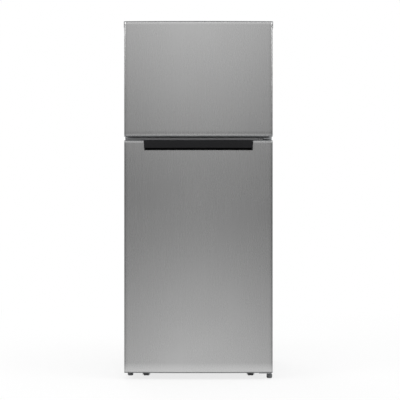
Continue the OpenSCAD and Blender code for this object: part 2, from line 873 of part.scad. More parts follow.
first_bin_lift = dyke_lift + dyke_w + 8;
freezer_bin_levels = [for (i = [0, 1]) freezer_floor + first_bin_lift + i * 0.46 * (freezer_ceiling - freezer_floor)];
fridge_bin_levels = [for (i = [0:2]) crisper_lid_z + 30 + i * (housing_z - crisper_lid_z) / 3];

tab_h = 30;
tab_t = 2;

module freezer_skin() color("#b8bbbe") door_skin(freezer_door_z, freezer_door_top);
module freezer_cap_top() {
    color("#6f7276") {
        door_cap(freezer_door_top, 1);
        both_sides() span([half_w, door_side_y + door_corner_r, freezer_door_top - tab_h], [half_w + tab_t, door_back_y - 4, freezer_door_top]);
    }
}
grip_half = 200;
grip_y = door_side_y + 10;
grip_depth = 22;
module freezer_cap_bottom() {
    color("#6f7276") difference() {
        door_cap(freezer_door_z, -1);
        centred(grip_half, grip_y, grip_y + grip_depth, freezer_door_z - eps, freezer_door_z + cap_edge + cap_plug - 3);
    }
}
module freezer_door_foam() color("#efe6b4") door_foam(freezer_door_z, freezer_door_top);
module freezer_door_liner() color("white") door_liner(freezer_door_z, freezer_door_top, freezer_floor, freezer_ceiling, freezer_bin_levels);
module freezer_gasket() color("#8d9093") door_gasket(freezer_floor, freezer_ceiling);
module freezer_bins() color("#e4eef2") door_bins(freezer_bin_levels);

module fridge_skin() {
    color("#b8bbbe") difference() {
        door_skin(fridge_door_z, fridge_door_top);
        handle_place();
    }
}
module fridge_cap_top() {
    color("#6f7276") difference() {
        door_cap(fridge_door_top, 1);
        handle_place();
    }
}
module fridge_cap_bottom() color("#6f7276") door_cap(fridge_door_z, -1);
module fridge_door_foam() {
    color("#efe6b4") difference() {
        door_foam(fridge_door_z, fridge_door_top);
        handle_place();
    }
}
module fridge_door_liner() color("white") door_liner(fridge_door_z, fridge_door_top, fridge_floor, fridge_ceiling, fridge_bin_levels);
module fridge_gasket() color("#8d9093") door_gasket(fridge_floor, fridge_ceiling);
module fridge_bins() color("#e4eef2") door_bins(fridge_bin_levels);

outer_shell();
back_panel();
base_pan();
cabinet_foam();
freezer_liner();
fridge_liner();
mullion_trim();
evaporator_cover();
evaporator_coil();
defrost_heater();
fan_motor();
fan_blade();
freezer_shelf();
control_housing();
thermostat_dial();
freezer_dial();
lamp();
lamp_cover();
fridge_switch();
shelf_frames();
shelf_panes();
crisper_cover();
crisper_left();
crisper_right();
humidity_slider();
top_hinge();
top_hinge_cover();
middle_hinge();
lower_hinge();
screws();
foot_left();
foot_right();
roller_brackets();
front_roller_left();
front_roller_right();
rear_roller_left();
rear_roller_right();
compressor();
compressor_grommets();
relay_cover();
pipework();
drain_pan();
cord_gland();
rear_spacers();
freezer_skin();
freezer_cap_top();
freezer_cap_bottom();
freezer_door_foam();
freezer_door_liner();
freezer_gasket();
freezer_bins();
fridge_skin();
fridge_handle();
fridge_cap_top();
fridge_cap_bottom();
fridge_door_foam();
fridge_door_liner();
fridge_gasket();
fridge_bins();
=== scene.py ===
"""Looks of a top freezer refrigerator: an add-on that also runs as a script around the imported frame."""

import json

import bmesh
import bpy
import numpy as np
from bpy.props import FloatProperty, FloatVectorProperty, IntProperty, PointerProperty
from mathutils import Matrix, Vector


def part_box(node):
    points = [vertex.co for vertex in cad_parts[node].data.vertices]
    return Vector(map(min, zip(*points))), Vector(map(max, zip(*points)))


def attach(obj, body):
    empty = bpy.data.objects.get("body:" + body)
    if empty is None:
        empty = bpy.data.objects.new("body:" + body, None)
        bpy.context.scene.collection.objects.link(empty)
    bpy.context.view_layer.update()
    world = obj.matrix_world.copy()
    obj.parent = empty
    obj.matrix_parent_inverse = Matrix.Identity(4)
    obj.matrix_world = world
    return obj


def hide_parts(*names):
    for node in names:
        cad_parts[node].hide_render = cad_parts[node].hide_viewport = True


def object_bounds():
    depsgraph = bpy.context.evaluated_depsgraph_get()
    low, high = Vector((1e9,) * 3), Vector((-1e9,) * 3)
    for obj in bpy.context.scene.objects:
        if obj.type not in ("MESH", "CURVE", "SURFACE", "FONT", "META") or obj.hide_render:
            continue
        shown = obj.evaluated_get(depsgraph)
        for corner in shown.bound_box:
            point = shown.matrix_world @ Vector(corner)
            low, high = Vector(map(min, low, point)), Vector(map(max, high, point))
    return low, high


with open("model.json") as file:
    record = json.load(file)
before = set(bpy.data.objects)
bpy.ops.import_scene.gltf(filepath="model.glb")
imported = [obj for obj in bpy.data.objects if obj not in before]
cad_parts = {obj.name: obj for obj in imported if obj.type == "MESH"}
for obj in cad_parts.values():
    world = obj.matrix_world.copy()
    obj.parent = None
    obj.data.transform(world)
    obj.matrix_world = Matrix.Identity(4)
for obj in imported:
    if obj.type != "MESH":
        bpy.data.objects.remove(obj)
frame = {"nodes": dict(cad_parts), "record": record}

bl_info = {
    "name": "Top freezer refrigerator",
    "version": (1, 0, 0),
    "blender": (4, 5, 0),
    "location": "View3D > Sidebar > Refrigerator",
    "description": "Builds the steel doors, handle, seals, bins, feet and finishes around the frame",
    "category": "Object",
}

CAD_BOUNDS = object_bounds()
SLOTS = {m["slot"]: m for m in frame["record"]["materials"]}
NODE_SLOT = {s["node"]: s["material_slot"] for s in frame["record"]["subparts"]}
MM = 0.001
SHARP = np.radians(32)          # edges that bend more than this are drawn as creases
MERGE = 0.01 * MM               # points closer than this are one point
TRAY_WALL = 2.6 * MM
TRAY_FILLET = 6 * MM
TRAY_FLOOR_INSET = 60 * MM
BIN_HEIGHT = 85 * MM
HEM = 1.2 * MM                  # height over which a door skin turns in at its ends
HEM_PULL = 0.6 * MM             # how far it turns in


# ---------- mesh tools ----------

def box(node):
    """A node's lowest and highest corners as arrays."""
    lo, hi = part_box(node)
    return np.array(lo), np.array(hi)


def grid_faces(rows, columns, wrap_u=False, wrap_v=False, start=0):
    """Quads between neighbours of a rows by columns grid, as one index array."""
    u = np.arange(rows if wrap_u else rows - 1)
    v = np.arange(columns if wrap_v else columns - 1)
    u, v = np.meshgrid(u, v, indexing="ij")
    u1, v1 = (u + 1) % rows, (v + 1) % columns
    quads = np.stack([u * columns + v, u1 * columns + v, u1 * columns + v1, u * columns + v1], -1)
    return quads.reshape(-1, 4) + start


def make_piece(name, points, faces, body, slot, replaced=(), closed=True):
    """A mesh object from points and faces, riding on a body, with its slot's material."""
    mesh = bpy.data.meshes.new(name)
    corners = np.asarray(points, float).reshape(-1, 3).tolist()
    mesh.from_pydata(corners, [], [list(map(int, f)) for f in faces])
    shape = bmesh.new()
    shape.from_mesh(mesh)
    bmesh.ops.remove_doubles(shape, verts=shape.verts, dist=MERGE)
    if closed:
        bmesh.ops.recalc_face_normals(shape, faces=shape.faces)
    for face in shape.faces:
        face.smooth = True
    for edge in shape.edges:
        edge.smooth = len(edge.link_faces) == 2 and edge.calc_face_angle(0) < SHARP
    shape.to_mesh(mesh)
    shape.free()
    piece = bpy.data.objects.new(name, mesh)
    bpy.context.scene.collection.objects.link(piece)
    piece.data.materials.append(finish(slot))
    if replaced:
        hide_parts(*replaced)
    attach(piece, body)
    return piece


def lathe(profile, centre, axis="Z", steps=64, ribs=0, rib_depth=0.0, rib_window=(0, 0)):
    """A closed profile of (radius, height) points turned about an axis through centre.

    A point is centre + radius (cos a, sin a) across the axis + height along it. Inside the window
    of profile points the radius steps out and in by half of rib_depth, ribs times in a turn."""
    profile = np.asarray(profile, float)
    a = np.arange(steps) * 2 * np.pi / steps
    r = np.repeat(profile[:, :1], steps, 1)
    if ribs:
        r[rib_window[0]:rib_window[1]] += rib_depth * np.sign(np.cos(ribs * a)) * 0.5
    h = np.repeat(profile[:, 1:], steps, 1)
    parts = {"Z": (r * np.cos(a), r * np.sin(a), h), "X": (h, r * np.cos(a), r * np.sin(a))}[axis]
    points = np.stack(parts, -1) + np.asarray(centre)
    return points, grid_faces(len(profile), steps, True, True)


def arc(cx, cy, r, a0, a1, n):
    """n + 1 points of an arc about (cx, cy) between two angles in degrees."""
    a = np.radians(np.linspace(a0, a1, n + 1))
    return np.stack([cx + r * np.cos(a), cy + r * np.sin(a)], -1)


def rounded_ring(lo, hi, r, inset, n=6):
    """Plan points of a rectangle with round corners, moved inwards by an inset."""
    x0, y0, x1, y1 = lo[0] + inset, lo[1] + inset, hi[0] - inset, hi[1] - inset
    r = max(r - inset, 0.4 * MM)
    return np.concatenate([arc(x1 - r, y0 + r, r, -90, 0, n), arc(x1 - r, y1 - r, r, 0, 90, n),
                           arc(x0 + r, y1 - r, r, 90, 180, n), arc(x0 + r, y0 + r, r, 180, 270, n)])


def tray_surface(lo, hi, wall, r):
    """An open tray as one closed sheet of rings: up the outside, over a rolled rim, down the inside.

    Each ring is a rounded rectangle at an inset and a height. Along the fillets and the rim, the
    inset and the height go as the sine and cosine of an angle."""
    z0, z1 = lo[2], hi[2]
    turn = np.radians(np.linspace(0, 90, 5))
    out_in = TRAY_FILLET * (1 - np.sin(turn))
    out_z = z0 + TRAY_FILLET * (1 - np.cos(turn))
    rim = np.radians(np.linspace(180, 0, 7))
    rim_in = wall / 2 + wall / 2 * np.cos(rim)
    rim_z = z1 - wall / 2 + wall / 2 * np.sin(rim)
    in_in = wall + TRAY_FILLET * (1 - np.sin(turn[::-1]))
    in_z = z0 + wall + TRAY_FILLET * (1 - np.cos(turn[::-1]))
    lip_z = z1 - 9 * MM
    lip_foot = lip_z - 3 * MM
    middle = [TRAY_FLOOR_INSET]
    insets = np.concatenate([middle, out_in, [0, 0], rim_in, [wall, wall], in_in, middle])
    heights = np.concatenate([[z0], out_z, [lip_foot, lip_z], rim_z, [lip_z, lip_foot], in_z, [z0 + wall]])
    rings = []
    for inset, z in zip(insets, heights):
        plan = rounded_ring(lo, hi, r, min(inset, 0.45 * (hi[1] - lo[1])))
        rings.append(np.column_stack([plan, np.full(len(plan), z)]))
    points = np.array(rings)
    n = points.shape[1]
    faces = list(grid_faces(len(rings), n, False, True))
    caps = [list(range(n))[::-1], list(range((len(rings) - 1) * n, len(rings) * n))]
    return points, faces + caps


def swept_block(profile_at, xs):
    """A closed section carried along X: profile_at(x) gives its (y, z) loop. Both ends are capped."""
    loops = []
    for x in xs:
        loop = profile_at(x)
        loops.append(np.column_stack([np.full(len(loop), x), loop]))
    points = np.array(loops)
    n = points.shape[1]
    last = (len(xs) - 1) * n
    caps = [list(range(n)), list(range(last, last + n))[::-1]]
    return points, list(grid_faces(len(xs), n, False, True)) + caps


def join(*shapes):
    """Several (points, faces) shapes as one."""
    points, faces, start = [], [], 0
    for p, f in shapes:
        p = np.asarray(p).reshape(-1, 3)
        points.append(p)
        faces += [[i + start for i in face] for face in f]
        start += len(p)
    return np.concatenate(points), faces


# ---------- materials ----------

class Value:
    """A shader socket that takes part in Python expressions through Math nodes."""

    def __init__(self, net, socket):
        self.net, self.socket = net, socket

    def math(self, operation, *others, clamp=False):
        node = self.net.node("ShaderNodeMath", {"operation": operation, "use_clamp": clamp},
                             dict(enumerate((self,) + others)))
        return Value(self.net, node.outputs[0])

    def __add__(self, other):
        return self.math("ADD", other)

    def __sub__(self, other):
        return self.math("SUBTRACT", other)

    def __mul__(self, other):
        return self.math("MULTIPLY", other)

    def __rsub__(self, other):
        return (self * -1).math("ADD", other)

    __radd__ = __add__
    __rmul__ = __mul__

    def clamp(self):
        return self.math("ADD", 0.0, clamp=True)


class Net:
    """A node tree under construction."""

    def __init__(self, tree):
        self.tree = tree
        tree.nodes.clear()

    def node(self, kind, settings=None, values=None):
        node = self.tree.nodes.new(kind)
        for key, value in (settings or {}).items():
            setattr(node, key, value)
        for key, value in (values or {}).items():
            if isinstance(value, Value):
                self.tree.links.new(value.socket, node.inputs[key])
            else:
                node.inputs[key].default_value = value
        return node

    def out(self, kind, settings=None, values=None, output=0):
        return Value(self, self.node(kind, settings, values).outputs[output])

    def place(self, scale=(1, 1, 1)):
        """Object coordinates in metres, stretched by a scale."""
        where = self.out("ShaderNodeTexCoord", output="Object")
        return self.out("ShaderNodeMapping", values={"Vector": where, "Scale": scale})

    def noise(self, scale, detail=3.0, stretch=(1, 1, 1), rough=0.5):
        return self.out("ShaderNodeTexNoise", values={
            "Vector": self.place(stretch), "Scale": scale, "Detail": detail, "Roughness": rough})

    def mix(self, factor, a, b):
        node = self.node("ShaderNodeMix", {"data_type": "RGBA"}, {"Factor": factor, 6: a, 7: b})
        return Value(self, node.outputs[2])

    def bump(self, height, strength, distance):
        values = {"Height": height, "Strength": strength, "Distance": distance}
        return self.out("ShaderNodeBump", values=values)

    def principled(self, **values):
        inputs = {key.replace("_", " "): value for key, value in values.items()}
        shader = self.out("ShaderNodeBsdfPrincipled", values=inputs)
        self.node("ShaderNodeOutputMaterial", values={"Surface": shader})


def tone(colour, factor):
    """An RGBA colour lightened or darkened by a factor."""
    return tuple(min(c * factor, 1.0) for c in colour[:3]) + (1.0,)


def brushed(net, colour, rough=0.27, anisotropic=0.6, grain=(900.0, 900.0, 6.0)):
    """Brushed steel: fine upright grain in the colour, roughness and relief, with faint smudges."""
    fine = net.noise(1.0, 2.0, grain, 0.65)
    broad = net.noise(1.0, 2.0, (120.0, 120.0, 1.2), 0.5)
    smudge = net.noise(5.0, 3.0)
    shade = (fine * 0.8 + broad * 0.2).clamp()
    net.principled(
        Base_Color=net.mix(shade, tone(colour, 0.93), tone(colour, 1.06)),
        Metallic=1.0, Anisotropic=anisotropic,
        Roughness=rough - 0.05 + fine * 0.05 + smudge * 0.05,
        Normal=net.bump(fine, 0.10, 0.02 * MM))


def painted(net, colour, rough=0.42, peel=900.0, depth=0.06):
    """Painted or zinc-coated sheet: pebbled relief and a slow drift in tone."""
    pebble = net.noise(peel, 2.0)
    drift = net.noise(3.0, 3.0)
    net.principled(
        Base_Color=net.mix(drift, tone(colour, 0.93), tone(colour, 1.07)),
        Metallic=0.15, Roughness=rough + drift * 0.08 - 0.04 + pebble * 0.04, Coat_Weight=0.1,
        Normal=net.bump(pebble, 0.5, depth * MM))


def moulded(net, colour, rough=0.40, grain=1400.0, depth=0.03, coat=0.0, sheen=0.5):
    """Injection-moulded plastic or rubber: spark-eroded grain, flow marks and scuffs."""
    spark = net.noise(grain, 2.0)
    flow = net.noise(9.0, 4.0, (1, 1, 0.4))
    scuff = (net.noise(60.0, 5.0, rough=0.7) * 3.0 - 1.75).clamp()
    net.principled(
        Base_Color=net.mix(flow * 0.7 + scuff * 0.3, tone(colour, 0.94), tone(colour, 1.08)),
        Roughness=rough - 0.04 + flow * 0.08 + scuff * 0.06, Coat_Weight=coat,
        Specular_IOR_Level=sheen, Normal=net.bump(spark, 0.4, depth * MM))


def clear(net, colour, rough=0.08, weight=0.85, alpha=0.4):
    """Clear plastic or glass: see-through body with faint waves and handling marks."""
    wave = net.noise(14.0, 2.0)
    mark = (net.noise(35.0, 5.0, rough=0.7) * 2.5 - 1.3).clamp()
    net.principled(
        Base_Color=net.mix(wave, tone(colour, 0.96), tone(colour, 1.04)),
        Alpha=(mark * 0.10 + alpha).clamp(), Roughness=rough + mark * 0.12, IOR=1.47, Coat_Weight=weight,
        Normal=net.bump(wave, 0.15, 0.1 * MM))


def drawn_metal(net, colour, rough=0.25):
    """Bare drawn or rolled metal: soft streaks and tarnish."""
    streak = net.noise(40.0, 4.0, (1, 1, 4))
    tarnish = net.noise(12.0, 5.0, rough=0.7)
    net.principled(
        Base_Color=net.mix(tarnish, tone(colour, 0.8), tone(colour, 1.1)), Metallic=0.9,
        Roughness=rough + tarnish * 0.15 + streak * 0.05, Normal=net.bump(streak, 0.2, 0.03 * MM))


def foamed(net, colour):
    """Poured insulation: open cells and patchy colour."""
    cell = net.out("ShaderNodeTexVoronoi", values={"Vector": net.place(), "Scale": 420.0})
    patch = net.noise(16.0, 4.0)
    net.principled(
        Base_Color=net.mix(patch, tone(colour, 0.85), tone(colour, 1.08)),
        Roughness=0.85 - cell * 0.1, Normal=net.bump(cell, 0.6, 0.3 * MM))


RECIPES = {
    "stainless": (brushed, {}),
    "trim_steel": (brushed, {"rough": 0.36, "grain": (6.0, 900.0, 900.0)}),
    "cabinet_paint": (painted, {"rough": 0.45, "peel": 750.0, "depth": 0.10}),
    "galvanised": (painted, {"rough": 0.38, "peel": 160.0, "depth": 0.02}),
    "pan_paint": (painted, {}),
    "hinge_steel": (painted, {"rough": 0.34}),
    "wire_white": (painted, {"rough": 0.25}),
    "compressor_black": (painted, {"rough": 0.28, "peel": 420.0}),
    "screw_zinc": (drawn_metal, {}),
    "coil_aluminium": (drawn_metal, {}),
    "heater_sheath": (drawn_metal, {"rough": 0.35}),
    "copper": (drawn_metal, {"rough": 0.22}),
    "handle_plastic": (moulded, {"rough": 0.38, "sheen": 0.1}),
    "cap_plastic": (moulded, {}),
    "liner_plastic": (moulded, {"rough": 0.24, "grain": 500.0, "coat": 0.2}),
    "frame_plastic": (moulded, {"rough": 0.28, "coat": 0.15}),
    "dial_plastic": (moulded, {"rough": 0.3}),
    "gasket_rubber": (moulded, {"rough": 0.6, "sheen": 0.3}),
    "grommet_rubber": (moulded, {"rough": 0.7}),
    "foot_plastic": (moulded, {"rough": 0.5, "depth": 0.06}),
    "roller_plastic": (moulded, {"rough": 0.5, "depth": 0.06}),
    "motor_black": (moulded, {}),
    "fan_plastic": (moulded, {}),
    "drain_plastic": (moulded, {"rough": 0.5}),
    "bin_plastic": (clear, {"alpha": 0.38}),
    "shelf_glass": (clear, {"alpha": 0.22, "rough": 0.03}),
    "lens_plastic": (clear, {"alpha": 0.7, "rough": 0.3}),
    "lamp_glass": (clear, {"alpha": 0.85, "rough": 0.2}),
    "foam": (foamed, {}),
}


FINISHED = {}


def finish(slot):
    """The material of a slot, made the first time that it is asked for."""
    if slot not in FINISHED:
        material = bpy.data.materials.new(slot)
        material.use_nodes = True
        maker, settings = RECIPES[slot]
        colour = SLOTS[slot]["base_color"]
        if slot == "stainless":
            colour = tuple(bpy.context.scene.fridge_finish.steel_colour)
        maker(Net(material.node_tree), colour, **settings)
        FINISHED[slot] = material
    return FINISHED[slot]


# ---------- sizes and colours a user would change ----------

class FridgeSizes(bpy.types.PropertyGroup):
    """Sizes of the modelled pieces."""

    sheet: FloatProperty(name="Door sheet", description="Thickness of the doors' steel",
                         default=1 * MM, unit="LENGTH")
    crown: FloatProperty(name="Crown", description="Bulge of a door's front", default=8 * MM, unit="LENGTH")
    corner: FloatProperty(name="Corner radius", description="Radius of a door's upright edges",
                          default=8 * MM, unit="LENGTH")
    grip: FloatProperty(name="Grip plate", description="Height of the handle's plate",
                        default=36 * MM, unit="LENGTH")
    slant: FloatProperty(name="Handle slant", description="Taper of each end of the handle",
                         default=3 * MM, unit="LENGTH")
    seal: FloatProperty(name="Seal width", description="Width of a door gasket",
                        default=18 * MM, unit="LENGTH")
    bellows: IntProperty(name="Bellows", description="Folds in a gasket", default=3, min=1, max=5)
    foot_ribs: IntProperty(name="Foot ribs", description="Grip ribs round a foot",
                           default=18, min=6, max=36)


class FridgeFinish(bpy.types.PropertyGroup):
    """Colours and light levels."""

    steel_colour: FloatVectorProperty(name="Steel", description="Colour of the brushed doors",
                                      subtype="COLOR",
                                      size=3, default=(0.62, 0.62, 0.62), min=0, max=1)
    floor_colour: FloatVectorProperty(name="Floor", description="Colour of the studio floor",
                                      subtype="COLOR",
                                      size=3, default=(0.9, 0.9, 0.9), min=0, max=1)
    horizon: FloatProperty(name="Horizon", description="Light straight ahead of the doors", default=0.095)
    rise: FloatProperty(name="Rise", description="How fast the light grows above the horizon", default=7.5)
    fall: FloatProperty(name="Fall", description="How fast the light grows below the horizon", default=8.5)
    sideways: FloatProperty(name="Falloff", description="How fast the light falls to the sides",
                            default=26.0)


# ---------- doors ----------

class FRIDGE_OT_steel_skins(bpy.types.Operator):
    """Wraps both doors in crowned brushed sheet"""
    bl_idname = "fridge.steel_skins"
    bl_label = "Steel skins"

    @staticmethod
    def plan(lo, hi, sizes, inner_half):
        """Plan outline: side, corner arc, crown arc, corner arc, side, with joints at +-inner_half.

        The crown is a large circle through both corners; each corner circle touches it from inside."""
        half, front, back = hi[0], lo[1], hi[1]
        r, c = sizes.corner, sizes.crown
        big = (half ** 2 + c ** 2) / (2 * c)
        cy = front + big
        tilt = np.degrees(np.arcsin((half - r) / (big - r)))
        corner_y = cy - (big - r) * np.cos(np.radians(tilt))
        inner = np.degrees(np.arcsin(inner_half / big))
        left = np.concatenate([np.column_stack([np.full(6, -half), np.linspace(back, corner_y, 7)[:-1]]),
                               arc(-half + r, corner_y, r, 180, 270 - tilt, 10)[:-1],
                               arc(0, cy, big, 270 - tilt, 270 - inner, 8)[:-1]])
        middle = arc(0, cy, big, 270 - inner, 270 + inner, 36)
        right = left[::-1] * (-1, 1)
        return np.concatenate([left, middle, right]), len(left), len(middle)

    def skin(self, name, node, body, notch=None):
        """The plan outline carried up Z, turned in a little at both hems, open where the handle sits."""
        sizes = bpy.context.scene.fridge_sizes
        lo, hi = box(node)
        inner_half = 0.5 * (hi[0] - lo[0]) * 0.7 if notch is None else notch[0] - sizes.slant
        plan, start, count = self.plan(lo, hi, sizes, inner_half)
        turn = np.linspace(0, 1, 4)
        foot, head = lo[2] + HEM, hi[2] - HEM
        split = lo[2] + 0.9 * (hi[2] - lo[2]) if notch is None else notch[1]
        z = np.concatenate([lo[2] + HEM * turn, np.linspace(foot, split, 26)[1:],
                            np.linspace(split, head, 6)[1:], (hi[2] - HEM * (1 - turn))[1:]])
        edge = np.minimum((z - lo[2]) / HEM, (hi[2] - z) / HEM).clip(0, 1)
        pull = HEM_PULL * (1 - edge) ** 2
        points = np.empty((len(plan), len(z), 3))
        points[..., 0] = plan[:, None, 0] * (1 - pull[None] / hi[0])
        points[..., 1] = plan[:, None, 1] + pull[None] * (plan[:, None, 1] < hi[1] - 4 * MM)
        points[..., 2] = z[None]
        faces = grid_faces(len(plan), len(z))
        if notch is not None:
            rise = ((z - notch[1]) / (hi[2] - notch[1])).clip(0, 1) * sizes.slant
            for column, way in ((start, -1), (start + count - 1, 1)):
                points[column, :, 0] += way * rise
            column, row = np.divmod(faces[:, 0], len(z))
            inside = (column >= start) & (column < start + count - 1) & (z[row] >= notch[1] - 1e-6)
            faces = faces[~inside]
        piece = make_piece(name, points, faces, body, "stainless", (node,), closed=False)
        wall = piece.modifiers.new("sheet", "SOLIDIFY")
        wall.thickness, wall.offset = sizes.sheet, -1

    def execute(self, context):
        self.skin("freezer_door_skin", "freezer_skin", "freezer_door")
        lo, hi = box("fridge_handle")
        self.skin("fridge_door_skin", "fridge_skin", "fridge_door", (hi[0], lo[2]))
        return {"FINISHED"}


class FRIDGE_OT_pocket_handle(bpy.types.Operator):
    """Models the black pocket handle with its grip plate and finger slot"""
    bl_idname = "fridge.pocket_handle"
    bl_label = "Pocket handle"

    def execute(self, context):
        sizes = context.scene.fridge_sizes
        lo, hi = box("fridge_handle")
        half, high = hi[0], hi[2] - lo[2]
        door_half = box("fridge_skin")[1][0]
        front, deep, g = lo[1], hi[1] - lo[1], sizes.grip
        r = 2.5 * MM
        # Each point is (depth from the plate's front, drop from the top). The loop goes down the
        # plate, round its foot, up inside it and round the pocket.
        section = np.concatenate([
            arc(r, r, r, 270, 180, 5), arc(r, g - r, r, 180, 90, 5), arc(9 * MM - r, g - r, r, 90, 0, 5),
            arc(15 * MM, 10 * MM, 6 * MM, 180, 270, 5), arc(deep - 10 * MM, 12 * MM, 8 * MM, -90, 0, 6),
            arc(deep - 10 * MM, high - 10 * MM, 8 * MM, 0, 90, 6),
            arc(5 * MM, high - 1.2 * MM, 0.8 * MM, 270, 180, 3),
            [[4.2 * MM, high], [deep, high], [deep, 0]]])
        block = np.concatenate([arc(r, r, r, 270, 180, 5), arc(r, high - r, r, 180, 90, 5),
                                [[deep, high], [deep, 0]]])

        def at(loop):
            """The section at x: its front follows the door's crown, its back stays flat."""
            def profile(x):
                bend = sizes.crown * (x / door_half) ** 2
                share = np.clip(1 - (loop[:, 0] - 9 * MM) / (deep - 18 * MM), 0, 1)
                return np.column_stack([front + loop[:, 0] + bend * share, hi[2] - loop[:, 1]])
            return profile

        wall = 4 * MM
        parts = [swept_block(at(section), np.linspace(-half + wall, half - wall, 49))]
        for side in (-1, 1):
            parts.append(swept_block(at(block), side * np.linspace(half - wall, half, 3)))
        points, faces = join(*parts)
        drop = (hi[2] - points[:, 2]) / high
        points[:, 0] *= 1 - sizes.slant * drop / half
        make_piece("pocket_handle", points, faces, "fridge_door", "handle_plastic", ("fridge_handle",))
        return {"FINISHED"}


class FRIDGE_OT_gaskets(bpy.types.Operator):
    """Models the magnetic door seals with their bellows"""
    bl_idname = "fridge.gaskets"
    bl_label = "Door gaskets"

    def execute(self, context):
        sizes = context.scene.fridge_sizes
        for door in ("freezer", "fridge"):
            lo, hi = box(door + "_gasket")
            t = np.linspace(0, 1, 8 * sizes.bellows + 1)
            depth = lo[1] + (hi[1] - lo[1]) * t
            wave = 1.6 * MM * (0.5 - 0.5 * np.cos(2 * np.pi * sizes.bellows * t))
            section = np.concatenate([np.column_stack([-wave, depth]),
                                      np.column_stack([wave - sizes.seal, depth])[::-1]])
            corners = np.array([(hi[0], hi[2]), (lo[0], hi[2]), (lo[0], lo[2]), (hi[0], lo[2])])
            middle = corners.mean(0)
            way = np.sign(corners - middle)
            points = np.empty((4, len(section), 3))
            points[..., 0] = corners[:, None, 0] + way[:, None, 0] * section[None, :, 0]
            points[..., 1] = section[None, :, 1]
            points[..., 2] = corners[:, None, 1] + way[:, None, 1] * section[None, :, 0]
            make_piece(door + "_door_seal", points, grid_faces(4, len(section), True, True), door + "_door",
                       "gasket_rubber", (door + "_gasket",))
        return {"FINISHED"}


class FRIDGE_OT_bins(bpy.types.Operator):
    """Models the clear door bins and crisper drawers as thin moulded trays"""
    bl_idname = "fridge.bins"
    bl_label = "Bins and crispers"

    @staticmethod
    def levels(node, height):
        """Lowest heights of the separate trays in a node, from its mesh."""
        z = np.unique(np.round([v.co.z for v in frame["nodes"][node].data.vertices], 5))
        return [a for a in z if np.any(np.abs(z - a - height) < 2e-4)]

    def execute(self, context):
        for door in ("freezer", "fridge"):
            lo, hi = box(door + "_bins")
            for i, z in enumerate(self.levels(door + "_bins", BIN_HEIGHT)):
                tray = tray_surface((lo[0], lo[1], z), (hi[0], hi[1], z + BIN_HEIGHT), TRAY_WALL, 16 * MM)
                make_piece(f"{door}_door_bin_{i + 1}", *tray, door + "_door", "bin_plastic", (door + "_bins",))
        for side in ("left", "right"):
            lo, hi = box("crisper_" + side)
            lip = 14 * MM
            tray = tray_surface((lo[0], lo[1] + lip, lo[2]), hi, TRAY_WALL, 14 * MM)
            x0, x1 = lo[0] + 40 * MM, hi[0] - 40 * MM
            front, root, top = lo[1], lo[1] + lip + 1 * MM, hi[2] - 23 * MM
            hook = np.array([
                (root, top), (front + 4 * MM, top), (front + 1 * MM, top - 1 * MM), (front, top - 4 * MM),
                (front, top - 18 * MM), (front + 1.5 * MM, top - 19 * MM), (front + 3 * MM, top - 18 * MM),
                (front + 3 * MM, top - 5 * MM), (front + 5 * MM, top - 3 * MM), (root, top - 3 * MM)])
            grip = swept_block(lambda x: hook, np.linspace(x0, x1, 5))
            node = "crisper_" + side
            make_piece(f"crisper_drawer_{side}", *join(tray, grip), node, "bin_plastic", (node,))
        return {"FINISHED"}


class FRIDGE_OT_feet(bpy.types.Operator):
    """Models the levelling feet and the rollers"""
    bl_idname = "fridge.feet"
    bl_label = "Feet and rollers"

    def execute(self, context):
        sizes = context.scene.fridge_sizes
        pad, nut, stem = 21 * MM, 3.5 * MM, 4 * MM
        for side in ("left", "right"):
            lo, hi = box("foot_" + side)
            r = (hi[0] - lo[0]) / 2
            c = ((lo[0] + hi[0]) / 2, (lo[1] + hi[1]) / 2, 0)
            top = hi[2]
            profile = [(0, 0), (r - 4 * MM, 0), (r - 2 * MM, 0.6 * MM), (r - 1 * MM, 2.5 * MM),
                       (r - 0.5 * MM, 4 * MM), (r - 0.5 * MM, pad - 4 * MM), (r - 1 * MM, pad - 2 * MM),
                       (r - 3 * MM, pad - 0.5 * MM),
                       (9 * MM, pad), (8.2 * MM, pad + 0.3 * MM), (8.2 * MM, pad + nut), (stem, pad + nut)]
            thread_z = np.arange(pad + nut, top - 0.4 * MM, 0.5 * MM)
            thread = [(stem - 0.5 * MM * (i % 2), z) for i, z in enumerate(thread_z)]
            profile += thread + [(stem - 0.6 * MM, top), (0, top)]
            shape = lathe(profile, c, ribs=sizes.foot_ribs, rib_depth=0.9 * MM, rib_window=(4, 6), steps=144)
            make_piece("levelling_foot_" + side, *shape, "foot_" + side, "foot_plastic", ("foot_" + side,))
        for end in ("front", "rear"):
            for side in ("left", "right"):
                node = f"{end}_roller_{side}"
                lo, hi = box(node)
                r, w, bore = (hi[2] - lo[2]) / 2, hi[0] - lo[0], 2.6 * MM
                e, groove = 2.5 * MM, r - 0.8 * MM
                turn = np.radians(np.linspace(0, 90, 6))
                profile = np.concatenate([
                    [(bore, 0), (bore + 3 * MM, 0), (bore + 3.5 * MM, 1 * MM)],
                    [(r - 4 * MM, 1 * MM), (r - 3.5 * MM, 0)],
                    [(r - e + e * np.sin(a), e - e * np.cos(a)) for a in turn],
                    [(r, w / 2 - 1.5 * MM), (groove, w / 2 - 0.8 * MM)],
                    [(groove, w / 2 + 0.8 * MM), (r, w / 2 + 1.5 * MM)],
                    [(r - e + e * np.cos(a), w - e + e * np.sin(a)) for a in turn],
                    [(r - 3.5 * MM, w), (r - 4 * MM, w - 1 * MM)],
                    [(bore + 3.5 * MM, w - 1 * MM), (bore + 3 * MM, w), (bore, w)]])
                shape = lathe(profile, (lo[0], (lo[1] + hi[1]) / 2, (lo[2] + hi[2]) / 2), "X", 72)
                make_piece(node + "_wheel", *shape, node, "roller_plastic", (node,))
        return {"FINISHED"}


